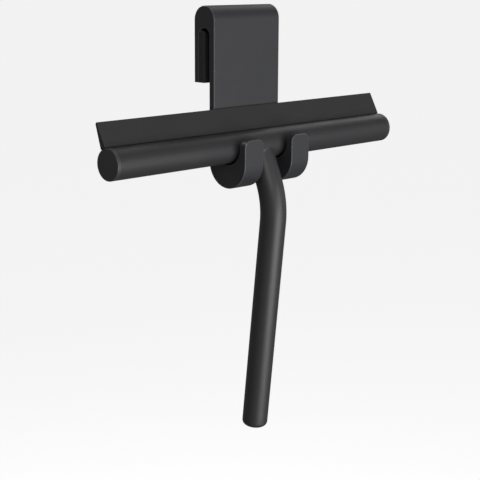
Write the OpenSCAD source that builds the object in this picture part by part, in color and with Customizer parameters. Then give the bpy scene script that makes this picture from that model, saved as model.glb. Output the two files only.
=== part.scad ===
// Window cleaning squeegee that rests in a hook-over hanger for a glass panel.
// X runs along the head, +Y points into the glass and +Z is up. All sizes are in millimetres.
// The origin is the seat of the hanger: halfway along its width, on the rear face of the front
// plate, level with the top of the slot that the glass goes into.
// The squeegee is modelled in a frame of its own and then leaned into its resting place. In that
// frame the head tube's axis is X, the blade stands up along +Z and the neck leaves along -Z.

/* [Head] */
// Length of the head and of the wiping edge
head_len = 265; // [180:1:360]
// Outside diameter of the head tube
head_d = 20.6; // [16:0.1:26]
// Wall of the head tube
head_wall = 1.6; // [1.2:0.1:2.2]
// Thickness of the part of an end cap that covers the tube's end
cap_t = 3; // [2:0.5:6]
// Rounding of an end cap's outer rim
cap_round = 1.2; // [0.4:0.1:1.8]
// Length of the stub that holds an end cap in the tube
cap_stub = 9; // [5:1:20]

/* [Blade] */
// Height of the wiping edge above the head tube's surface
blade_h = 17; // [12:0.5:26]
// Thickness at the wiping edge
edge_t = 1.4; // [0.8:0.1:2]
// Depth of the bevel behind the wiping edge
edge_bevel = 0.9; // [0.3:0.1:1.2]
// Thickness of the blade just above the tube
root_t = 4.7; // [3.4:0.1:5.4]
// Radius of the hollow between the blade and the tube
root_fillet = 1.3; // [0.6:0.1:1.6]
// Thickness of the web that passes through the tube's slot
web_t = 2.2; // [1.6:0.1:2.8]
// Diameter of the bead that locks the blade in the tube
bead_d = 4.8; // [4:0.1:5.2]
// Depth of the bead's middle below the tube's surface
bead_depth = 4.1; // [3.8:0.1:4.6]
// Wall around the bead's channel
channel_wall = 1.4; // [1:0.1:1.6]
// Slack around the bead and the web
blade_play = 0.15; // [0.05:0.05:0.3]

/* [Handle] */
// Outside diameter of the soft sleeve
handle_d = 18.2; // [15:0.2:24]
// Outside diameter of the steel core
core_d = 13; // [10.5:0.5:14.5]
// Wall of the steel core
core_wall = 1.2; // [0.8:0.1:1.6]
// Length of the straight neck, from the head tube's axis
neck_len = 26.7; // [22:0.1:40]
// Radius of the bend, at the middle of the handle
bend_r = 58; // [40:1:120]
// Angle of the bend
bend_angle = 28.9; // [5:0.1:45]
// Length of the straight grip below the bend
grip_len = 152.8; // [90:0.1:240]
// Rounding of the handle's free end
end_round = 3.6; // [1:0.1:5]
// Thickness of the sleeve across the free end
end_floor = 2.6; // [1.5:0.1:5]

/* [Neck joint] */
// Diameter of the threaded stud that holds the handle to the head
stud_d = 6; // [4:0.5:7]
// Thickness of the nut block inside the head tube
nut_t = 5.2; // [4:0.1:6]
// Length of the nut block along the head
nut_len = 26; // [14:1:40]
// Distance from the head tube's surface to the flat seat of the saddle
saddle_t = 4; // [3:0.5:6]
// Thickness of the spring washer
washer_t = 1.5; // [1:0.1:2]
// Gap in the spring washer
washer_gap = 1; // [0.5:0.1:2]
// Thickness of the flange on the neck insert and on the core's end plug
flange_t = 1.2; // [0.8:0.1:2]
// Length of the stub on the core's end plug
plug_len = 12; // [6:1:25]
// Clearance of one piece in another
fit_gap = 0.05; // [0.02:0.01:0.1]

/* [Hanger] */
// Width of the hanger along the glass
hanger_w = 62.8; // [44:0.2:120]
// Thickness of the front plate
plate_t = 4.7; // [3:0.1:7]
// Width of the slot, before the pad
slot_w = 10.3; // [8:0.1:20]
// Height of the solid arch above the slot
arch_rise = 14.9; // [11.5:0.1:24]
// Thickness of the leg behind the glass
leg_t = 4.2; // [2.5:0.1:6]
// Distance from the top of the slot to the foot of the leg
leg_drop = 36.5; // [20:0.5:70]
// Thickness of the soft pad on the leg
pad_t = 5.4; // [1.5:0.1:8]
// Distance from the top of the slot to the top of the pad
pad_drop = 1.6; // [0.5:0.1:10]
// Rounding of the pad's top edge
pad_round = 2.6; // [0.5:0.1:3]
// Distance from the top of the slot down to the head tube's axis
head_drop = 78.7; // [60:0.1:140]

/* [Cradle] */
// Difference in radius between the cradle and the head tube
cradle_play = 2.1; // [1.8:0.1:5]
// Distance of the resting tube behind the middle of the cradle
head_back = 1.1; // [0:0.1:1.4]
// Gap between the resting tube and the cradle
rest_gap = 0.35; // [0.3:0.05:0.4]
// Gap between the wiping edge and the front plate
edge_gap = 0.35; // [0.3:0.05:1]
// Thickness of an arm
arm_t = 5; // [3:0.1:8]
// Height of the arms above the head tube's axis
arm_rise = 6.6; // [2:0.1:14]
// Rounding of an arm's top corners
arm_round = 5; // [1:0.5:7]
// Depth of solid under the cradle
keel_t = 16.1; // [6:0.1:24]
// Room on each side of the neck between the arms
neck_room = 4.8; // [2:0.1:15]

/* [Hidden] */

$fn = 96;
black = "#2b2b2d";
steel = "#b4b8bc";
big = 400;
// How far the grip runs up over the bend, and how much wider it is there, so that they join
lap = 1.5;
lap_step = 0.08;

head_r = head_d / 2;
bore_r = head_r - head_wall;
bead_z = head_r - bead_depth;
channel_r = bead_d / 2 + blade_play;
edge_z = head_r + blade_h;
tube_len = head_len - 2 * cap_t;

core_r = core_d / 2;
core_bore_r = core_r - core_wall;
saddle_z = -head_r - saddle_t;
flange_z = saddle_z - flange_t;
insert_z = -neck_len + 0.5;
nut_top_z = nut_t - bore_r + fit_gap;
plug_gap = end_floor + flange_t;

// The hanger's section, across the glass
cradle_r = head_r + cradle_play;
arch_r = (plate_t + slot_w + leg_t) / 2;
arch_y = arch_r - plate_t;
arch_z = arch_rise - arch_r;
keel_r = (plate_t + 2 * cradle_r + arm_t) / 2;
cradle_y = -plate_t - cradle_r;
arm_front_y = -2 * keel_r;

// Where the squeegee rests
head_y = cradle_y + head_back;
head_z = -head_drop;
cradle_z = head_z + sqrt(pow(cradle_play - rest_gap, 2) - pow(head_back, 2));
keel_z = cradle_z - cradle_r - keel_t + keel_r;
notch_w = handle_d + 2 * neck_room;
arm_w = (hanger_w - notch_w) / 2;

// The squeegee leans back until its wiping edge is a small gap from the plate
edge_y = -plate_t - edge_gap - head_y;
corner_z = edge_z - edge_bevel;
edge_reach = norm([half_t(corner_z), corner_z]);
edge_angle = atan2(half_t(corner_z), corner_z);
lean = asin(edge_y / edge_reach) - edge_angle;

// Puts a piece of the squeegee where it rests in the cradle
module rest() {
    translate([0, head_y, head_z])
        rotate([-lean, 0, 0])
            children();
}

// Extrudes a section along X, centred. The section's X is the part's Y and its Y is the part's Z.
module along_x(length) {
    rotate([90, 0, 90])
        linear_extrude(height = length, center = true)
            children();
}

// A straight round bar from height z0 down to height z1
module bar(r, z0, z1) {
    translate([0, 0, z1])
        cylinder(h = z0 - z1, r = r);
}

// Puts its children at the end of the bend, with -Z along the grip
module at_grip() {
    translate([0, bend_r * (1 - cos(bend_angle)), -neck_len - bend_r * sin(bend_angle)])
        rotate([bend_angle, 0, 0])
            children();
}

// A round bar that follows the handle from height z0 in the neck, and stops short of its free end
module handle_bar(r, z0, short) {
    bar(r, z0, -neck_len);
    translate([0, bend_r, -neck_len])
        rotate([-90, 0, 0])
            rotate([0, 90, 0])
                rotate_extrude(angle = bend_angle)
                    translate([bend_r, 0])
                        circle(r);
    at_grip()
        bar(r + lap_step, lap, short - grip_len);
}

// ---- Hanger ----

module slot_section() {
    translate([0, -big])
        square([slot_w, big - slot_w / 2]);
    translate([slot_w / 2, -slot_w / 2])
        circle(slot_w / 2);
}

module hanger_section() {
    // plate, arch and leg
    difference() {
        union() {
            translate([arch_y, arch_z])
                circle(arch_r);
            translate([-plate_t, keel_z])
                square([plate_t, arch_z - keel_z]);
            translate([-plate_t, -leg_drop])
                square([2 * arch_r, arch_z + leg_drop]);
        }
        slot_section();
    }
    // cradle: a round keel under the tube and an arm in front of it
    difference() {
        union() {
            translate([-keel_r, keel_z])
                circle(keel_r);
            translate([arm_front_y, keel_z])
                square([2 * keel_r, cradle_z - keel_z]);
            translate([arm_front_y, keel_z])
                square([arm_t, head_z + arm_rise - keel_z]);
        }
        translate([cradle_y, cradle_z])
            circle(cradle_r);
        translate([cradle_y - cradle_r, cradle_z])
            square([2 * cradle_r, big]);
    }
}

// Front view of one arm, with round top corners
module arm_front() {
    top = head_z + arm_rise;
    translate([-arm_w / 2, top - arm_round - big])
        square([arm_w, big]);
    translate([-arm_w / 2 + arm_round, top - arm_round])
        square([arm_w - 2 * arm_round, arm_round]);
    for (side = [-1, 1])
        translate([side * (arm_w / 2 - arm_round), top - arm_round])
            circle(arm_round);
}

// Everything in front of the plate that the two arms may fill
module arms_space() {
    for (side = [-1, 1])
        translate([side * (hanger_w - arm_w) / 2, -plate_t, 0])
            rotate([90, 0, 0])
                linear_extrude(height = big)
                    arm_front();
}

module hanger_bracket() {
    color(black)
        intersection() {
            along_x(hanger_w)
                hanger_section();
            union() {
                translate([-big / 2, -plate_t, -big / 2])
                    cube(big);
                arms_space();
            }
        }
}

module pad_section() {
    front = slot_w - pad_t;
    intersection() {
        slot_section();
        union() {
            translate([front, -leg_drop])
                square([pad_t, leg_drop - pad_drop - pad_round]);
            translate([front + pad_round, -leg_drop])
                square([pad_t - pad_round, leg_drop - pad_drop]);
            translate([front + pad_round, -pad_drop - pad_round])
                circle(pad_round);
        }
    }
}

module rear_pad() {
    color(black)
        along_x(hanger_w)
            pad_section();
}

// ---- Head ----

// The channel's outer wall hangs inside the tube, under the slot
module channel_boss(extra) {
    translate([0, bead_z])
        circle(channel_r + channel_wall + extra);
}

module tube_section() {
    difference() {
        union() {
            difference() {
                circle(head_r);
                circle(bore_r);
            }
            intersection() {
                channel_boss(0);
                circle(head_r);
            }
        }
        translate([0, bead_z])
            circle(channel_r);
        translate([-web_t / 2 - blade_play, bead_z])
            square([web_t + 2 * blade_play, big]);
    }
}

module head_tube() {
    color(black)
        rest()
            difference() {
                along_x(tube_len)
                    tube_section();
                bar(stud_d / 2 + fit_gap, -bead_z, -big);
            }
}

// Half the blade's thickness at a height above the tube's axis
function half_t(z) = edge_t / 2 + (root_t - edge_t) / 2 * (edge_z - z) / blade_h;

// The hollow where the blade meets the tube, on one side
module root_flare() {
    y = half_t(head_r + root_fillet) + root_fillet;
    z = sqrt(pow(head_r + root_fillet, 2) - y * y);
    touch = head_r / (head_r + root_fillet);
    difference() {
        polygon([[0, head_r - 1], [y * touch, z * touch], [y, z], [0, z]]);
        translate([y, z])
            circle(root_fillet);
    }
}

module wedge_section() {
    difference() {
        union() {
            polygon([
                [-half_t(head_r - 1), head_r - 1],
                [half_t(head_r - 1), head_r - 1],
                [half_t(corner_z), corner_z],
                [0, edge_z],
                [-half_t(edge_z), edge_z]
            ]);
            root_flare();
            mirror([1, 0])
                root_flare();
        }
        circle(head_r);
    }
}

module bead_section() {
    translate([0, bead_z])
        circle(bead_d / 2);
    translate([-web_t / 2, bead_z])
        square([web_t, head_r + 0.5 - bead_z]);
}

module wiper_blade() {
    color(black)
        rest()
            union() {
                along_x(head_len)
                    wedge_section();
                along_x(tube_len)
                    bead_section();
            }
}

// An end cap with its outer face at +X
module end_cap() {
    translate([head_len / 2 - cap_t, 0, 0])
        rotate([0, 90, 0])
            rotate_extrude()
                union() {
                    square([head_r - cap_round, cap_t]);
                    square([head_r, cap_t - cap_round]);
                    translate([head_r - cap_round, cap_t - cap_round])
                        circle(cap_round);
                }
    translate([tube_len / 2 - cap_stub / 2, 0, 0])
        along_x(cap_stub)
            difference() {
                circle(bore_r - fit_gap);
                channel_boss(fit_gap);
                translate([-big / 2, bead_z])
                    square([big, big]);
            }
}

module end_cap_right() {
    color(black)
        rest()
            end_cap();
}

module end_cap_left() {
    color(black)
        rest()
            mirror([1, 0, 0])
                end_cap();
}

// ---- Neck joint ----

module saddle_nut() {
    color(steel)
        rest()
            difference() {
                along_x(nut_len)
                    intersection() {
                        circle(bore_r - fit_gap);
                        translate([-big / 2, nut_top_z - big])
                            square([big, big]);
                    }
                bar(stud_d / 2 + fit_gap, nut_top_z + 1, -big);
            }
}

module neck_stud() {
    chamfer = stud_d / 8;
    bottom = insert_z + 1;
    color(steel)
        rest()
            translate([0, 0, bottom])
                rotate_extrude()
                    polygon([
                        [0, 0],
                        [stud_d / 2 - chamfer, 0],
                        [stud_d / 2, chamfer],
                        [stud_d / 2, nut_top_z - bottom - chamfer],
                        [stud_d / 2 - chamfer, nut_top_z - bottom],
                        [0, nut_top_z - bottom]
                    ]);
}

// Fits between the round head tube and the flat end of the neck
module neck_saddle() {
    color(black)
        rest()
            difference() {
                bar(core_r, -head_r / 2, saddle_z);
                along_x(big)
                    circle(head_r);
                bar(stud_d / 2 + fit_gap, 0, -big);
                bar(core_bore_r, saddle_z + washer_t, -big);
            }
}

module spring_washer() {
    color(steel)
        rest()
            difference() {
                bar(core_bore_r - fit_gap, saddle_z + washer_t, saddle_z);
                bar(stud_d / 2 + fit_gap, 0, -big);
                translate([0, -washer_gap / 2, saddle_z - 1])
                    cube([core_r, washer_gap, washer_t + 2]);
            }
}

module neck_insert() {
    color(steel)
        rest()
            difference() {
                union() {
                    bar(core_r, saddle_z, flange_z);
                    bar(core_bore_r - fit_gap, saddle_z, insert_z);
                }
                bar(stud_d / 2 + fit_gap, 0, -big);
            }
}

// ---- Handle ----

// Half section of the sleeve's rounded free end
module end_profile(r) {
    square([r - end_round, 2 * end_round]);
    translate([0, end_round])
        square([r, end_round]);
    translate([r - end_round, end_round])
        circle(end_round);
}

module handle_core() {
    color(steel)
        rest()
            difference() {
                handle_bar(core_r, flange_z, plug_gap);
                union() {
                    bar(core_bore_r, 0, -neck_len);
                    handle_bar(core_bore_r, flange_z, 0);
                }
            }
}

module core_end_plug() {
    color(black)
        rest()
            at_grip()
                union() {
                    bar(core_r, plug_gap - grip_len, end_floor - grip_len);
                    bar(core_bore_r - fit_gap, plug_gap - grip_len + plug_len, end_floor - grip_len);
                }
}

module handle_sleeve() {
    color(black)
        rest()
            difference() {
                union() {
                    handle_bar(handle_d / 2, 0, end_round);
                    at_grip()
                        translate([0, 0, -grip_len])
                            rotate_extrude()
                                end_profile(handle_d / 2 + lap_step);
                }
                along_x(big)
                    circle(head_r);
                handle_bar(core_r, 0, end_floor);
            }
}

hanger_bracket();
rear_pad();
head_tube();
wiper_blade();
end_cap_left();
end_cap_right();
saddle_nut();
neck_stud();
neck_saddle();
spring_washer();
neck_insert();
handle_core();
core_end_plug();
handle_sleeve();
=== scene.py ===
"""Finished look of a window squeegee resting in its hook-over hanger.

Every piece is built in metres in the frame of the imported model: X runs along the head, +Y points into
the glass and +Z is up. Sizes are fields of the class that builds a piece, and places come from the
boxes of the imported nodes.
"""
import logging
import math
from dataclasses import dataclass, field
from enum import Enum
from typing import Callable, Iterable, Sequence

import bmesh
import bpy
from mathutils import Matrix, Vector


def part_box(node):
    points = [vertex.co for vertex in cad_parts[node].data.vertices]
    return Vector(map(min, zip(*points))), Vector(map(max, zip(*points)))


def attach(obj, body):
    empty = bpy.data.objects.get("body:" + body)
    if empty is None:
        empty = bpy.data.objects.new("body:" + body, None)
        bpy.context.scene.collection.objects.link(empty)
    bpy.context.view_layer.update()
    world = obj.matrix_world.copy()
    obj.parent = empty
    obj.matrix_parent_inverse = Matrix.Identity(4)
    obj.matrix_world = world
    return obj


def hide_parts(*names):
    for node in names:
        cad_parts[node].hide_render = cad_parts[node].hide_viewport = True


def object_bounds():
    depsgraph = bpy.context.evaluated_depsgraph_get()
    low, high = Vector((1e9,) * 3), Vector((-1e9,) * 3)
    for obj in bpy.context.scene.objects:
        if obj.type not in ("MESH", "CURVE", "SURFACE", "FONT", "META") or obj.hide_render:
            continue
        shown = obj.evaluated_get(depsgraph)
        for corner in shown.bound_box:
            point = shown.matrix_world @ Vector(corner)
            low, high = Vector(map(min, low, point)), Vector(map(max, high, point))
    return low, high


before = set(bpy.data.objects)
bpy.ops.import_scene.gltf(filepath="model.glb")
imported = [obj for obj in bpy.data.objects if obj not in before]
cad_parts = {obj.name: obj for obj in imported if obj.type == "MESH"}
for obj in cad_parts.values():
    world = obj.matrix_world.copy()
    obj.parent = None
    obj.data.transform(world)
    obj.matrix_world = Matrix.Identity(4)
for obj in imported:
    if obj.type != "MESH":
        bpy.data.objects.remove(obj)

CAD_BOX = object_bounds()
MM = 0.001
LOG = logging.getLogger("squeegee")

Point = tuple[float, float]


class Body(Enum):
    """The bodies that pieces ride on."""

    HANGER = "hanger"
    SQUEEGEE = "squeegee"


class Axis(Enum):
    """The way that a section is extruded."""

    X = "x"
    Y = "y"


class Texture(Enum):
    """How the fine surface of a finish runs."""

    GRAIN = "grain"
    DRAWN = "drawn"
    BRUSHED = "brushed"


# ---- Shader graphs ----------------------------------------------------------------------------


class Socket:
    """Wraps an output socket so that shader maths reads as Python."""

    def __init__(self, graph: "Graph", out: bpy.types.NodeSocket) -> None:
        """Keeps the socket and the graph that it belongs to."""
        self.graph = graph
        self.out = out

    def _math(self, operation: str, *values: "float | Socket") -> "Socket":
        """Adds one Math node.

        Args:
            operation: The Math node's operation.
            values: Its inputs, in order.

        Returns:
            The node's value.
        """
        inputs = dict(enumerate(values))
        return self.graph.add("ShaderNodeMath", {"operation": operation}, inputs)[0]

    def __add__(self, other: "float | Socket") -> "Socket":
        """self + other."""
        return self._math("ADD", self, other)

    __radd__ = __add__

    def __mul__(self, other: "float | Socket") -> "Socket":
        """self * other."""
        return self._math("MULTIPLY", self, other)

    __rmul__ = __mul__

    def __sub__(self, other: "float | Socket") -> "Socket":
        """self - other."""
        return self._math("SUBTRACT", self, other)

    def __rsub__(self, other: "float | Socket") -> "Socket":
        """other - self."""
        return self._math("SUBTRACT", other, self)

    def __pow__(self, power: float) -> "Socket":
        """self raised to a power."""
        return self._math("POWER", self, power)

    def clamped(self) -> "Socket":
        """The value held between 0 and 1."""
        return self._math("MINIMUM", self._math("MAXIMUM", self, 0.0), 1.0)


class Graph:
    """The node tree of one material or world."""

    def __init__(self, tree: bpy.types.NodeTree) -> None:
        """Starts from an empty tree."""
        tree.nodes.clear()
        self.tree = tree

    def add(
        self,
        kind: str,
        settings: dict[str, object] | None = None,
        inputs: "dict[str | int, object] | None" = None,
    ) -> list[Socket]:
        """Adds a node.

        Args:
            kind: The node's type name.
            settings: Properties of the node, set before its inputs.
            inputs: Values or sockets by input name or number.

        Returns:
            The node's outputs.
        """
        node = self.tree.nodes.new(kind)
        for key, value in (settings or {}).items():
            setattr(node, key, value)
        for key, value in (inputs or {}).items():
            if isinstance(value, Socket):
                self.tree.links.new(value.out, node.inputs[key])
            else:
                node.inputs[key].default_value = value
        return [Socket(self, out) for out in node.outputs]

    def object_point(self, stretch: Sequence[float]) -> Socket:
        """The surface point in the object's own frame.

        Args:
            stretch: How much the pattern is squeezed along each axis.

        Returns:
            The stretched point.
        """
        point = self.add("ShaderNodeTexCoord")[3]
        return self.add("ShaderNodeVectorMath", {"operation": "MULTIPLY"}, {0: point, 1: stretch})[0]

    def noise(self, point: Socket, scale: float, detail: float) -> Socket:
        """Soft noise between 0 and 1.

        Args:
            point: Where to read it.
            scale: Cells per metre.
            detail: How many finer layers it has.

        Returns:
            The noise's value.
        """
        inputs = {"Vector": point, "Scale": scale, "Detail": detail}
        return self.add("ShaderNodeTexNoise", None, inputs)[0]

    def blend(
        self, factor: Socket, low: "Socket | Sequence[float]", high: "Socket | Sequence[float]"
    ) -> Socket:
        """Mixes two colours.

        Args:
            factor: 0 gives low and 1 gives high.
            low: A colour, as a socket or as red, green and blue.
            high: The other colour.

        Returns:
            The mixed colour.
        """
        ends = [c if isinstance(c, Socket) else (*c, 1.0) for c in (low, high)]
        inputs = {0: factor, 6: ends[0], 7: ends[1]}
        return self.add("ShaderNodeMix", {"data_type": "RGBA"}, inputs)[2]


# ---- Finishes ---------------------------------------------------------------------------------

MADE: dict[str, bpy.types.Material] = {}
# Marks the rounded edge strips, which get a painted highlight and a slightly lower roughness.
HIGHLIGHT_AND_POLISH_MASK = "painted_highlight_and_polish_mask"


@dataclass(frozen=True)
class Finish:
    """One surface finish, made as a procedural material.

    The mottle is a broad unevenness, the streaks are finer and the grain is the finest. The edge
    highlight is how much paler the rounded edges are painted, a painted highlight, and hollow is how
    much darker the deepest hollows are painted, a painted shade.
    """

    name: str
    slot: str
    colour: tuple[float, float, float]
    roughness: float
    texture: Texture = Texture.GRAIN
    variation: float = 0.16
    mottle_per_m: float = 55.0
    streak_per_m: float = 520.0
    grain_per_m: float = 2600.0
    grain_depth: float = 0.02 * MM
    bump_strength: float = 0.35
    rough_swing: float = 0.16
    metallic: float = 0.0
    specular: float = 0.5
    # Painted highlight on the rounded edges: how much paler they are painted.
    edge_highlight: float = 0.0
    edge_polish: float = 0.08
    # Painted shade in the hollows: how much darker, how far the piece's own occlusion looks, how sharply
    # it falls and how many rays it takes.
    hollow: float = 0.0
    shade_reach: float = 0.03
    shade_power: float = 1.6
    shade_samples: int = 12

    def stretch(self) -> tuple[float, float, float]:
        """How the grain is squeezed along X, Y and Z."""
        return {
            Texture.GRAIN: (1.0, 1.0, 1.0),
            Texture.DRAWN: (0.03, 1.0, 1.0),
            Texture.BRUSHED: (1.0, 1.0, 0.04),
        }[self.texture]

    def material(self) -> bpy.types.Material:
        """Builds the material, or returns the one already built.

        Returns:
            The material.
        """
        if self.name in MADE:
            return MADE[self.name]
        made = MADE[self.name] = bpy.data.materials.new(self.name)
        made.use_nodes = True
        graph = Graph(made.node_tree)
        even = graph.object_point((1.0, 1.0, 1.0))
        along = graph.object_point(self.stretch())
        mottle = graph.noise(even, self.mottle_per_m, 4.0)
        streak = graph.noise(along, self.streak_per_m, 2.0)
        grain = graph.noise(along, self.grain_per_m, 3.0)
        tone = (mottle * 0.5 + streak * 0.35 + grain * 0.15).clamped()
        dark = [c * (1.0 - self.variation) for c in self.colour]
        light = [c * (1.0 + self.variation) for c in self.colour]
        rough = self.roughness + (tone - 0.5) * self.rough_swing
        colour = graph.blend(tone, dark, light)
        # Painted highlight: the rounded edge strips are painted paler than the surface, and also made a
        # little less rough.
        if self.edge_highlight:
            highlight_and_polish = graph.add("ShaderNodeAttribute", {"attribute_name": HIGHLIGHT_AND_POLISH_MASK})[2]
            pale = [c * (1.0 + self.edge_highlight) for c in self.colour]
            colour = graph.blend(highlight_and_polish, colour, pale)
            rough = rough - highlight_and_polish * self.edge_polish
        # Painted shade: darkens the colour where the piece's own ambient occlusion finds it enclosed, in
        # its hollows and crevices.
        if self.hollow:
            reach = {"Distance": self.shade_reach}
            settings = {"samples": self.shade_samples, "only_local": True}
            unshaded_share = graph.add("ShaderNodeAmbientOcclusion", settings, reach)[1]
            unshaded_share = unshaded_share**self.shade_power
            shaded_colour = [c * (1.0 - self.hollow) for c in self.colour]
            colour = graph.blend(unshaded_share, shaded_colour, colour)
        bump = graph.add(
            "ShaderNodeBump",
            None,
            {
                "Strength": self.bump_strength,
                "Distance": self.grain_depth,
                "Height": grain * 0.7 + streak * 0.3,
            },
        )[0]
        surface = graph.add(
            "ShaderNodeBsdfPrincipled",
            None,
            {
                "Base Color": colour,
                "Roughness": rough,
                "Metallic": self.metallic,
                "Specular IOR Level": self.specular,
                "Normal": bump,
            },
        )[0]
        graph.add("ShaderNodeOutputMaterial", None, {"Surface": surface})
        return made


PLASTIC = Finish(
    "matt_moulding", "hanger_plastic", (0.0345, 0.035, 0.0385), 0.45, edge_highlight=1.5, hollow=0.97
)
PAD = Finish("soft_strip", "pad_rubber", (0.024, 0.024, 0.025), 0.6, grain_depth=0.05 * MM, specular=0.4)
TUBE = Finish("tube_coating", "head_coating", (0.0342, 0.0338, 0.0362), 0.44, Texture.DRAWN, 0.08)
BLADE = Finish("silicone_blade", "blade_silicone", (0.033, 0.033, 0.0325), 0.46, Texture.DRAWN, 0.1)
CAP = Finish("cap_moulding", "cap_plastic", (0.047, 0.0468, 0.048), 0.45, specular=0.6)
GRIP = Finish(
    "silicone_grip", "grip_silicone", (0.0362, 0.0358, 0.0382), 0.45, variation=0.08, specular=0.54
)
STEEL = Finish(
    "plain_steel", "steel_parts", (0.62, 0.63, 0.65), 0.32, Texture.BRUSHED, 0.08, metallic=1.0
)
INNER = Finish("natural_plastic", "inner_plastic", (0.08, 0.08, 0.08), 0.5)


# ---- Mesh building ----------------------------------------------------------------------------


def arc(centre: Point, radius: float, start: float, end: float, steps: int) -> list[Point]:
    """Points along an arc.

    Args:
        centre: The arc's centre.
        radius: Its radius.
        start: Angle of its first point, in degrees.
        end: Angle of its last point, in degrees.
        steps: How many chords it has.

    Returns:
        The points, both ends included.
    """
    turn = [math.radians(start + (end - start) * i / steps) for i in range(steps + 1)]
    return [(centre[0] + radius * math.cos(a), centre[1] + radius * math.sin(a)) for a in turn]


def full_turn(count: int) -> list[float]:
    """Angles of evenly spaced points around a circle, in radians."""
    return [2 * math.pi * i / count for i in range(count)]


def mesh_object(name: str, verts: Iterable[Vector], faces: Iterable[Sequence[int]]) -> bpy.types.Object:
    """Makes a mesh object with outward normals.

    Args:
        name: The piece's name.
        verts: Its points.
        faces: Its faces, by point number.

    Returns:
        The object, linked into the scene.
    """
    mesh = bpy.data.meshes.new(name)
    mesh.from_pydata([tuple(v) for v in verts], [], [tuple(f) for f in faces])
    work = bmesh.new()
    work.from_mesh(mesh)
    bmesh.ops.remove_doubles(work, verts=work.verts, dist=1e-7)
    bmesh.ops.recalc_face_normals(work, faces=work.faces)
    work.to_mesh(mesh)
    work.free()
    made = bpy.data.objects.new(name, mesh)
    bpy.context.scene.collection.objects.link(made)
    return made


def prism(
    name: str, section: Sequence[Point], start: float, end: float, axis: Axis = Axis.X
) -> bpy.types.Object:
    """Extrudes a section.

    Args:
        name: The piece's name.
        section: The outline's points, across by Z.
        start: Where it starts.
        end: Where it ends.
        axis: The way that it runs.

    Returns:
        The object.
    """
    count = len(section)
    if axis is Axis.X:
        verts = [Vector((x, y, z)) for x in (start, end) for y, z in section]
    else:
        verts = [Vector((x, y, z)) for y in (start, end) for x, z in section]
    faces = [(i, (i + 1) % count, count + (i + 1) % count, count + i) for i in range(count)]
    faces += [tuple(range(count))[::-1], tuple(range(count, 2 * count))]
    return mesh_object(name, verts, faces)


def rings(name: str, loops: Sequence[Sequence[Vector]]) -> bpy.types.Object:
    """Skins a row of rings that have the same number of points, and closes both ends.

    Args:
        name: The piece's name.
        loops: The rings, in order.

    Returns:
        The object.
    """
    count = len(loops[0])
    verts = [p for loop in loops for p in loop]
    faces: list[tuple[int, ...]] = []
    for row in range(len(loops) - 1):
        a, b = row * count, (row + 1) * count
        faces += [(a + i, a + (i + 1) % count, b + (i + 1) % count, b + i) for i in range(count)]
    last = (len(loops) - 1) * count
    faces += [tuple(range(count))[::-1], tuple(range(last, last + count))]
    return mesh_object(name, verts, faces)


def applied(piece: bpy.types.Object) -> bpy.types.Object:
    """Applies a piece's modifiers.

    Args:
        piece: The piece.

    Returns:
        The same piece, with its final mesh.
    """
    graph = bpy.context.evaluated_depsgraph_get()
    final = bpy.data.meshes.new_from_object(piece.evaluated_get(graph))
    piece.modifiers.clear()
    old = piece.data
    piece.data = final
    final.name = piece.name
    bpy.data.meshes.remove(old)
    return piece


def cut(piece: bpy.types.Object, tool: bpy.types.Object) -> None:
    """Cuts a tool's shape out of a piece and removes the tool.

    Args:
        piece: What is cut.
        tool: The shape to take away.
    """
    step = piece.modifiers.new("cut", "BOOLEAN")
    step.operation = "DIFFERENCE"
    step.solver = "EXACT"
    step.object = tool
    applied(piece)
    bpy.data.objects.remove(tool)


def soften(piece: bpy.types.Object, width: float, segments: int = 3, angle: float = 32.0) -> None:
    """Rounds a piece's edges, smooths its curved faces and marks the rounded strips for a painted
    highlight and a lower roughness.

    Args:
        piece: The piece.
        width: Width of the rounding.
        segments: How many strips it has.
        angle: Edges sharper than this many degrees are rounded.
    """
    piece.data.materials.append(None)
    piece.data.materials.append(None)
    step = piece.modifiers.new("edges", "BEVEL")
    step.width = width
    step.segments = segments
    step.limit_method = "ANGLE"
    step.angle_limit = math.radians(angle)
    step.harden_normals = True
    step.use_clamp_overlap = False
    step.material = 1
    shade(piece)
    mesh = applied(piece).data
    # The rounded strips carry the painted edge highlight.
    strips = [float(face.material_index == 1) for face in mesh.polygons]
    mesh.attributes.new(HIGHLIGHT_AND_POLISH_MASK, "FLOAT", "FACE").data.foreach_set("value", strips)
    mesh.polygons.foreach_set("material_index", [0] * len(strips))


def shade(piece: bpy.types.Object, crease: float = 40.0) -> None:
    """Shades a piece smooth, with a crease at sharp edges.

    Args:
        piece: The piece.
        crease: The least angle of a crease, in degrees.
    """
    mesh = piece.data
    mesh.polygons.foreach_set("use_smooth", [True] * len(mesh.polygons))
    mesh.set_sharp_from_angle(angle=math.radians(crease))


def dress(piece: bpy.types.Object, finish: Finish, body: Body, *nodes: str) -> bpy.types.Object:
    """Gives a piece its finish and its place in the model.

    Args:
        piece: The piece.
        finish: Its finish.
        body: What it moves with.
        nodes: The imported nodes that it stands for.

    Returns:
        The same piece.
    """
    piece.data.materials.clear()
    piece.data.materials.append(finish.material())
    if nodes:
        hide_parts(*nodes)
    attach(piece, body.value)
    LOG.info("%s: %d faces, on %s", piece.name, len(piece.data.polygons), body.value)
    return piece


# ---- Hanger -----------------------------------------------------------------------------------


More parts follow.
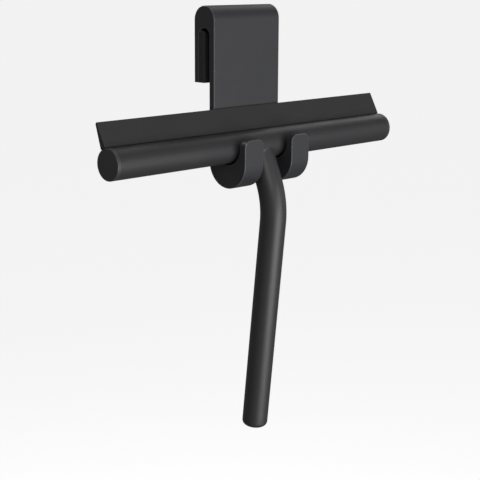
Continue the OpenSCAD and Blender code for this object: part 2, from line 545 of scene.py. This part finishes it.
@dataclass
class Hanger:
    """The moulded hook with its cradle, and the soft pad in its slot."""

    plate_t: float = 4.7 * MM
    leg_t: float = 4.2 * MM
    arm_t: float = 5.0 * MM
    keel_t: float = 16.1 * MM
    arm_rise: float = 6.6 * MM
    arm_round: float = 5.0 * MM
    half_gap: float = 13.9 * MM
    edge_round: float = 0.5 * MM
    square_edge: float = 60.0
    pad_round: float = 2.6 * MM
    pad_taper: float = 0.35 * MM
    pad_edge: float = 0.4 * MM
    arch_steps: int = 64
    slot_steps: int = 48
    keel_steps: int = 96
    cradle_steps: int = 72
    corner_steps: int = 14
    pad_steps: int = 12

    def __post_init__(self) -> None:
        """Reads the hanger's outside sizes from its box."""
        low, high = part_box("hanger_bracket")
        self.low, self.high = Vector(low), Vector(high)
        pad_low, pad_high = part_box("rear_pad")
        self.pad_low, self.pad_high = Vector(pad_low), Vector(pad_high)
        cap_low, cap_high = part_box("end_cap_left")
        self.tube_z = (cap_low[2] + cap_high[2]) / 2
        self.slot_w = self.high.y - self.leg_t
        self.keel_r = -self.low.y / 2
        self.cradle_r = self.keel_r - (self.plate_t + self.arm_t) / 2

    def outline(self) -> list[Point]:
        """The bracket's outline across the glass, as one closed loop."""
        arch_r = (self.high.y + self.plate_t) / 2
        arch = (arch_r - self.plate_t, self.high.z - arch_r)
        slot_r = self.slot_w / 2
        keel = (-self.keel_r, self.low.z + self.keel_r)
        cradle = (-self.plate_t - self.cradle_r, self.low.z + self.keel_t + self.cradle_r)
        arm_top = self.tube_z + self.arm_rise
        foot = self.pad_low.z
        loop = arc(arch, arch_r, 180, 0, self.arch_steps)
        loop += [(self.high.y, foot), (self.slot_w, foot)]
        loop += arc((slot_r, -slot_r), slot_r, 0, 180, self.slot_steps)
        loop += arc(keel, self.keel_r, 0, -180, self.keel_steps)
        loop += [(self.low.y, arm_top), (self.low.y + self.arm_t, arm_top)]
        loop += arc(cradle, self.cradle_r, 180, 360, self.cradle_steps)
        return loop

    def neck_gap(self) -> bpy.types.Object:
        """The space between the arms, as a cutting tool."""
        front, back = self.low.y - MM, -self.plate_t
        low, high = self.low.z - MM, self.tube_z + self.arm_rise + MM
        section = [(front, low), (back, low), (back, high), (front, high)]
        return prism("gap", section, -self.half_gap, self.half_gap)

    def corner(self, x: float, side: float) -> bpy.types.Object:
        """What an arm's round top corner leaves out, as a cutting tool.

        Args:
            x: The arm's side face.
            side: +1 if the corner is on the arm's +X side, or -1.

        Returns:
            The tool.
        """
        top = self.tube_z + self.arm_rise
        middle, foot = x - side * self.arm_round, top - self.arm_round
        over = MM
        out = x + side * over
        outline = arc((middle, foot), self.arm_round, 90, 90 - side * 90, self.corner_steps)
        outline += [(out, foot), (out, top + over), (middle, top + over)]
        return prism(
            "corner", outline, self.low.y - over, self.low.y + self.arm_t + over, Axis.Y
        )

    def bracket(self) -> bpy.types.Object:
        """Builds the moulded hook."""
        piece = prism("hanger_hook", self.outline(), self.low.x, self.high.x)
        cut(piece, self.neck_gap())
        for x, side in (
            (self.low.x, -1),
            (-self.half_gap, 1),
            (self.half_gap, -1),
            (self.high.x, 1),
        ):
            cut(piece, self.corner(x, side))
        soften(piece, self.edge_round, angle=self.square_edge)
        return piece

    def pad(self) -> bpy.types.Object:
        """Builds the pad, a little thinner towards its round top."""
        front, back = self.pad_low.y, self.pad_high.y
        top, foot = self.pad_high.z, self.pad_low.z
        slot_r = self.slot_w / 2
        bend = (front + self.pad_taper + self.pad_round, top - self.pad_round)
        meet = math.degrees(math.acos((top + slot_r) / slot_r))
        loop = [(back, foot), (front, foot)]
        loop += arc(bend, self.pad_round, 180, 96, self.pad_steps)
        loop += arc((slot_r, -slot_r), slot_r, 90 - meet, 0, self.pad_steps + 4)
        piece = prism("slot_pad", loop, self.low.x, self.high.x)
        soften(piece, self.pad_edge)
        return piece

    def build(self) -> None:
        """Builds and dresses the hanger's pieces."""
        dress(self.bracket(), PLASTIC, Body.HANGER, "hanger_bracket")
        dress(self.pad(), PAD, Body.HANGER, "rear_pad")


# ---- Squeegee ---------------------------------------------------------------------------------


@dataclass
class Pose:
    """Where the squeegee rests: its head's axis and how far it leans back."""

    blade_h: float = 17.0 * MM
    edge_t: float = 1.4 * MM
    edge_bevel: float = 0.9 * MM
    root_t: float = 4.7 * MM
    head_r: float = field(init=False)
    axis: Vector = field(init=False)
    lean: float = field(init=False)

    def __post_init__(self) -> None:
        """Reads the head's axis from an end cap's box and the lean from the blade's."""
        low, high = (Vector(corner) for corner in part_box("end_cap_left"))
        middle = (low + high) / 2
        self.axis = Vector((0.0, middle.y, middle.z))
        self.head_r = (high.z - low.z) / 2
        taper = (self.root_t - self.edge_t) / 2 * self.edge_bevel / self.blade_h
        across, up = self.edge_t / 2 + taper, self.head_r + self.blade_h - self.edge_bevel
        edge_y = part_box("wiper_blade")[1][1] - middle.y
        self.lean = math.asin(edge_y / math.hypot(across, up)) - math.atan2(across, up)

    def matrix(self) -> Matrix:
        """From the squeegee's own frame, with the blade along +Z, to its resting place."""
        return Matrix.Translation(self.axis) @ Matrix.Rotation(-self.lean, 4, "X")

    def place(self, piece: bpy.types.Object) -> bpy.types.Object:
        """Moves a piece built in the squeegee's own frame to its resting place."""
        piece.data.transform(self.matrix())
        return piece


@dataclass
class Head:
    """The slotted tube, its blade and its two end caps."""

    pose: Pose
    cap_round: float = 0.6 * MM
    fillet: float = 1.3 * MM
    web_t: float = 2.2 * MM
    bead_r: float = 2.4 * MM
    bead_depth: float = 4.1 * MM
    play: float = 0.15 * MM
    lip_share: float = 0.45
    undercut: float = 0.8 * MM
    cap_ridge: float = 0.12 * MM
    cap_crease: float = 35.0
    tube_edge: float = 0.15 * MM
    blade_edge: float = 0.22 * MM
    blade_corner: float = 38.0
    web_sink: float = 0.1 * MM
    tube_steps: int = 200
    bore_steps: int = 40
    foot_steps: int = 16
    bead_steps: int = 36
    cap_facets: int = 128

    def __post_init__(self) -> None:
        """Reads the head's length from its boxes."""
        self.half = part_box("wiper_blade")[1][0]
        self.half_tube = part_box("head_tube")[1][0]
        self.bead_z = self.pose.head_r - self.bead_depth
        self.edge_z = self.pose.head_r + self.pose.blade_h

    def half_t(self, z: float) -> float:
        """Half the blade's thickness at a height above the tube's axis."""
        pose = self.pose
        return (pose.edge_t + (pose.root_t - pose.edge_t) * (self.edge_z - z) / pose.blade_h) / 2

    def tube(self) -> bpy.types.Object:
        """Builds the tube with its slot and the channel for the blade's bead."""
        r = self.pose.head_r
        gap = self.web_t / 2 + self.play
        bore = self.bead_r + self.play
        lip = math.degrees(math.asin(gap / r))
        mouth = math.degrees(math.asin(gap / bore))
        loop = arc((0, 0), r, 90 - lip, -270 + lip, self.tube_steps)
        loop += arc((0, self.bead_z), bore, 90 + mouth, 450 - mouth, self.bore_steps)
        piece = prism("head_tube_shell", loop, -self.half_tube, self.half_tube)
        soften(piece, self.tube_edge, 2)
        return self.pose.place(piece)

    def flank(self) -> list[Point]:
        """Half of the blade's outline, from its edge to the undercut lip that sits on the tube."""
        r, f = self.pose.head_r, self.fillet
        y = self.half_t(r + f) + f
        z = math.sqrt((r + f) ** 2 - y * y)
        foot = 180 + math.degrees(math.atan2(z, y))
        side = [(self.half_t(h), h) for h in (self.edge_z, self.edge_z - self.pose.edge_bevel)]
        side += [(self.half_t(z + f * k), z + f * k) for k in (6.0, 4.0, 2.0, 0.6)]
        lip = arc((y, z), f, 180, 180 + (foot - 180) * self.lip_share, 8)
        inner, reach = lip[-1][0] - self.undercut, math.hypot(*lip[-1])
        return side + lip + [(inner, math.sqrt(d * d - inner * inner)) for d in (reach, r)]

    def blade(self) -> bpy.types.Object:
        """Builds the blade: a tapering wedge with a hollow root that sits on the tube."""
        r = self.pose.head_r
        front = [(-y, z) for y, z in self.flank()]
        back = self.flank()[1:]
        start = math.degrees(math.atan2(front[-1][1], front[-1][0]))
        end = math.degrees(math.atan2(back[-1][1], back[-1][0]))
        foot = arc((0, 0), r, start, end, self.foot_steps)[1:-1]
        loop = [(0.0, self.edge_z)] + front + foot + back[::-1]
        wedge = prism("blade_wedge", loop, -self.half, self.half)
        soften(wedge, self.blade_edge, 2, self.blade_corner)
        return self.pose.place(wedge)

    def bead(self) -> bpy.types.Object:
        """Builds the bead and web that hold the blade in the tube's channel."""
        half = self.web_t / 2
        turn = math.degrees(math.asin(half / self.bead_r))
        loop = arc((0, self.bead_z), self.bead_r, 90 + turn, 450 - turn, self.bead_steps)
        top = self.pose.head_r - self.web_sink
        loop += [(half, top), (-half, top)]
        piece = prism("blade_bead", loop, -self.half_tube, self.half_tube)
        shade(piece)
        return self.pose.place(piece)

    def cap(self, side: int) -> bpy.types.Object:
        """Builds an end cap.

        Args:
            side: +1 for the cap at +X, or -1.

        Returns:
            The cap, with its outer face flush with the blade's end.
        """
        r, ridge = self.pose.head_r, self.cap_ridge
        rim = (self.half - self.cap_round, r - self.cap_round)
        profile = [(self.half_tube, r - 2 * ridge), (self.half_tube + ridge, r)]
        profile += arc(rim, self.cap_round, 90, 0, 10)
        profile += [(self.half, r * 0.6), (self.half, r * 0.25)]
        turns = full_turn(self.cap_facets)
        loops = [
            [Vector((side * x, rad * math.cos(a), rad * math.sin(a))) for a in turns]
            for x, rad in profile
        ]
        piece = rings("head_cap_" + ("right" if side > 0 else "left"), loops)
        shade(piece, self.cap_crease)
        return self.pose.place(piece)

    def build(self) -> None:
        """Builds and dresses the head's pieces."""
        dress(self.tube(), TUBE, Body.SQUEEGEE, "head_tube")
        dress(self.blade(), BLADE, Body.SQUEEGEE, "wiper_blade")
        dress(self.bead(), BLADE, Body.SQUEEGEE)
        for side, node in ((-1, "end_cap_left"), (1, "end_cap_right")):
            dress(self.cap(side), CAP, Body.SQUEEGEE, node)


@dataclass
class Handle:
    """The soft sleeve over the bent steel core."""

    pose: Pose
    radius: float = 9.1 * MM
    neck_len: float = 26.7 * MM
    bend_r: float = 58.0 * MM
    bend: float = math.radians(28.9)
    grip_len: float = 152.8 * MM
    end_round: float = 3.6 * MM
    fillet: float = 2.4 * MM
    crease: float = 50.0
    facets: int = 128
    root_steps: int = 9
    bend_steps: int = 24
    straight_steps: int = 24
    end_steps: int = 10

    def ring(self, centre: Vector, angle: float, radius: float) -> list[Vector]:
        """A ring square to the handle's axis.

        Args:
            centre: A point on the axis.
            angle: How far the axis has turned towards +Y there, in radians.
            radius: The ring's radius.

        Returns:
            Its points.
        """
        across = Vector((0.0, math.cos(angle), math.sin(angle)))
        turns = full_turn(self.facets)
        return [centre + radius * (Vector((math.cos(a), 0, 0)) + across * math.sin(a)) for a in turns]

    def root_rings(self) -> list[list[Vector]]:
        """Rings of the hollow where the neck blends into the head."""
        head, neck, f = self.pose.head_r, self.radius, self.fillet
        steps = self.root_steps
        loops: list[list[Vector]] = [[] for _ in range(steps + 1)]
        for a in full_turn(self.facets):
            x, y = (neck + f) * math.cos(a), (neck + f) * math.sin(a)
            z = -math.sqrt((head + f) ** 2 - y * y)
            centre = Vector((x, y, z))
            on_head = Vector((x, y * head / (head + f), z * head / (head + f))) - centre
            on_neck = Vector((neck * math.cos(a), neck * math.sin(a), z)) - centre
            for row in range(steps + 1):
                mix = row / steps
                arm = on_head.slerp(on_neck, mix) if on_head.angle(on_neck) > 1e-4 else on_neck
                loops[row].append(centre + arm.normalized() * f)
        return loops

    def sleeve(self) -> bpy.types.Object:
        """Builds the sleeve from the head down to its rounded end."""
        loops = self.root_rings()
        lowest = min(p.z for p in loops[-1])
        for mix in (0.25, 0.5, 0.75):
            level = [Vector((p.x, p.y, p.z + (lowest - MM - p.z) * mix)) for p in loops[-1]]
            loops.append(level)
        loops += [
            self.ring(Vector((0, 0, z)), 0.0, self.radius)
            for z in (lowest - 1.5 * MM, (lowest - self.neck_len) / 2, -self.neck_len)
        ]
        for i in range(1, self.bend_steps + 1):
            a = self.bend * i / self.bend_steps
            y = self.bend_r * (1 - math.cos(a))
            z = -self.neck_len - self.bend_r * math.sin(a)
            loops.append(self.ring(Vector((0, y, z)), a, self.radius))
        down = Vector((0, math.sin(self.bend), -math.cos(self.bend)))
        end = Vector((0, self.bend_r * (1 + down.z), -self.neck_len - self.bend_r * down.y))
        straight = self.grip_len - self.end_round
        for i in range(1, self.straight_steps + 1):
            place = end + down * straight * i / self.straight_steps
            loops.append(self.ring(place, self.bend, self.radius))
        corner = (straight, self.radius - self.end_round)
        for depth, rad in arc(corner, self.end_round, 90, 0, self.end_steps)[1:]:
            loops.append(self.ring(end + down * depth, self.bend, rad))
        for share in (0.4, 0.1):
            loops.append(self.ring(end + down * self.grip_len, self.bend, self.radius * share))
        piece = rings("handle_sleeve_skin", loops)
        shade(piece, self.crease)
        return self.pose.place(piece)

    def build(self) -> None:
        """Builds and dresses the handle."""
        dress(self.sleeve(), GRIP, Body.SQUEEGEE, "handle_sleeve")


@dataclass
class InnerParts:
    """The hidden pieces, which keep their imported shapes."""

    steel: tuple[str, ...] = (
        "saddle_nut",
        "neck_stud",
        "spring_washer",
        "neck_insert",
        "handle_core",
    )
    plastic: tuple[str, ...] = ("neck_saddle", "core_end_plug")

    def build(self) -> None:
        """Gives each hidden piece its finish."""
        for names, finish in ((self.steel, STEEL), (self.plastic, INNER)):
            for name in names:
                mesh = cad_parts[name].data
                mesh.materials.clear()
                mesh.materials.append(finish.material())
                LOG.info("%s: packed shape, %s", name, finish.name)


# ---- Studio -----------------------------------------------------------------------------------


@dataclass(frozen=True)
class Lamp:
    """A soft square light, placed by its bearing from the object."""

    name: str
    bearing: float
    height: float
    power: float


@dataclass
class Studio:
    """Floor, lights and camera."""

    floor_drop: float = 0.95
    floor_r: float = 90.0
    floor_facets: int = 96
    floor_tone: float = 0.6
    floor_glow: float = 0.83
    lamp_reach: float = 1.6
    lamp_side: float = 0.7
    lamp_aim: tuple[float, float, float] = (0.0, -0.02, -0.1)
    room_light: float = 0.1
    room_seen: float = 0.93
    camera_place: tuple[float, float, float] = (-0.58759, -0.58748, 0.03975)
    yaw: float = math.radians(44.933)
    pitch: float = math.radians(12.807)
    roll: float = math.radians(0.269)
    lens: float = 89.956
    sensor: float = 36.0
    nearest: float = 0.05
    farthest: float = 500.0
    lamps: tuple[Lamp, ...] = (
        Lamp("key_low", 12.0, -20.0, 8.0),
        Lamp("key_left", -10.0, -20.0, 7.7),
        Lamp("key_level", 17.0, 5.0, 4.9),
        Lamp("fill_left", -40.0, 30.0, 5.3),
        Lamp("fill_top", -40.0, 60.0, 2.2),
        Lamp("side_level", 70.0, 5.0, 0.9),
        Lamp("rim_light", 110.0, 30.0, 2.1),
        Lamp("rim_top", 100.0, 60.0, 1.1),
        Lamp("back_light", 180.0, 40.0, 16.0),
    )

    def floor(self) -> None:
        """Lays a wide pale floor well below the object, which hangs in the air."""
        z, r = CAD_BOX[0][2] - self.floor_drop, self.floor_r
        verts = [Vector((r * math.cos(a), r * math.sin(a), z)) for a in full_turn(self.floor_facets)]
        piece = mesh_object("studio_floor", verts, [tuple(range(self.floor_facets))])
        material = bpy.data.materials.new("pale_floor")
        material.use_nodes = True
        graph = Graph(material.node_tree)
        surface = graph.add(
            "ShaderNodeBsdfPrincipled",
            None,
            {
                "Base Color": (self.floor_tone, self.floor_tone, self.floor_tone, 1.0),
                "Roughness": 0.9,
                "Specular IOR Level": 0.0,
                "Emission Color": (1.0, 1.0, 1.0, 1.0),
                "Emission Strength": self.floor_glow,
            },
        )[0]
        graph.add("ShaderNodeOutputMaterial", None, {"Surface": surface})
        piece.data.materials.append(material)
        piece.visible_diffuse = False
        piece.visible_glossy = False

    def hang(self, lamp: Lamp) -> None:
        """Hangs a soft light that faces the object.

        Args:
            lamp: Its name, bearing and height in degrees, and power in watts.
        """
        data = bpy.data.lights.new(lamp.name, "AREA")
        data.size = self.lamp_side
        data.energy = lamp.power
        made = bpy.data.objects.new(lamp.name, data)
        bpy.context.scene.collection.objects.link(made)
        turn, rise = math.radians(lamp.bearing), math.radians(lamp.height)
        flat = math.cos(rise)
        away = Vector((math.sin(turn) * flat, -math.cos(turn) * flat, math.sin(rise)))
        made.location = Vector(self.lamp_aim) + away * self.lamp_reach
        made.rotation_mode = "QUATERNION"
        made.rotation_quaternion = (-away).to_track_quat("-Z", "Y")

    def room(self) -> None:
        """Fills the room with a weak even light and gives it pale walls."""
        world = bpy.data.worlds.new("soft_room")
        bpy.context.scene.world = world
        world.use_nodes = True
        graph = Graph(world.node_tree)
        seen = graph.add("ShaderNodeLightPath")[0]
        strength = seen * (self.room_seen - self.room_light) + self.room_light
        shader = graph.add("ShaderNodeBackground", None, {0: (1.0, 1.0, 1.0, 1.0), 1: strength})[0]
        graph.add("ShaderNodeOutputWorld", None, {0: shader})

    def camera(self) -> None:
        """Sets up the camera."""
        data = bpy.data.cameras.new("camera")
        data.lens = self.lens
        data.sensor_width = self.sensor
        data.clip_start, data.clip_end = self.nearest, self.farthest
        flat = math.cos(self.pitch)
        ahead = Vector((math.sin(self.yaw) * flat, math.cos(self.yaw) * flat, -math.sin(self.pitch)))
        right = Vector((math.cos(self.yaw), -math.sin(self.yaw), 0.0))
        up = right.cross(ahead)
        turned_right = right * math.cos(self.roll) + up * math.sin(self.roll)
        turned_up = up * math.cos(self.roll) - right * math.sin(self.roll)
        turn = Matrix((turned_right, turned_up, -ahead)).transposed().to_4x4()
        made = bpy.data.objects.new("camera", data)
        made.matrix_world = Matrix.Translation(Vector(self.camera_place)) @ turn
        bpy.context.scene.collection.objects.link(made)
        bpy.context.scene.camera = made

    def build(self) -> None:
        """Sets up the whole studio."""
        self.camera()
        self.floor()
        self.room()
        for lamp in self.lamps:
            self.hang(lamp)
        bpy.context.scene.view_settings.view_transform = "Standard"


def main() -> None:
    """Builds the studio, then every piece."""
    logging.basicConfig(level=logging.INFO, format="%(name)s: %(message)s")
    pose = Pose()
    builders: list[Callable[[], None]] = [
        Studio().build,
        Hanger().build,
        Head(pose).build,
        Handle(pose).build,
        InnerParts().build,
    ]
    for build in builders:
        build()


if __name__ == "__main__":
    main()
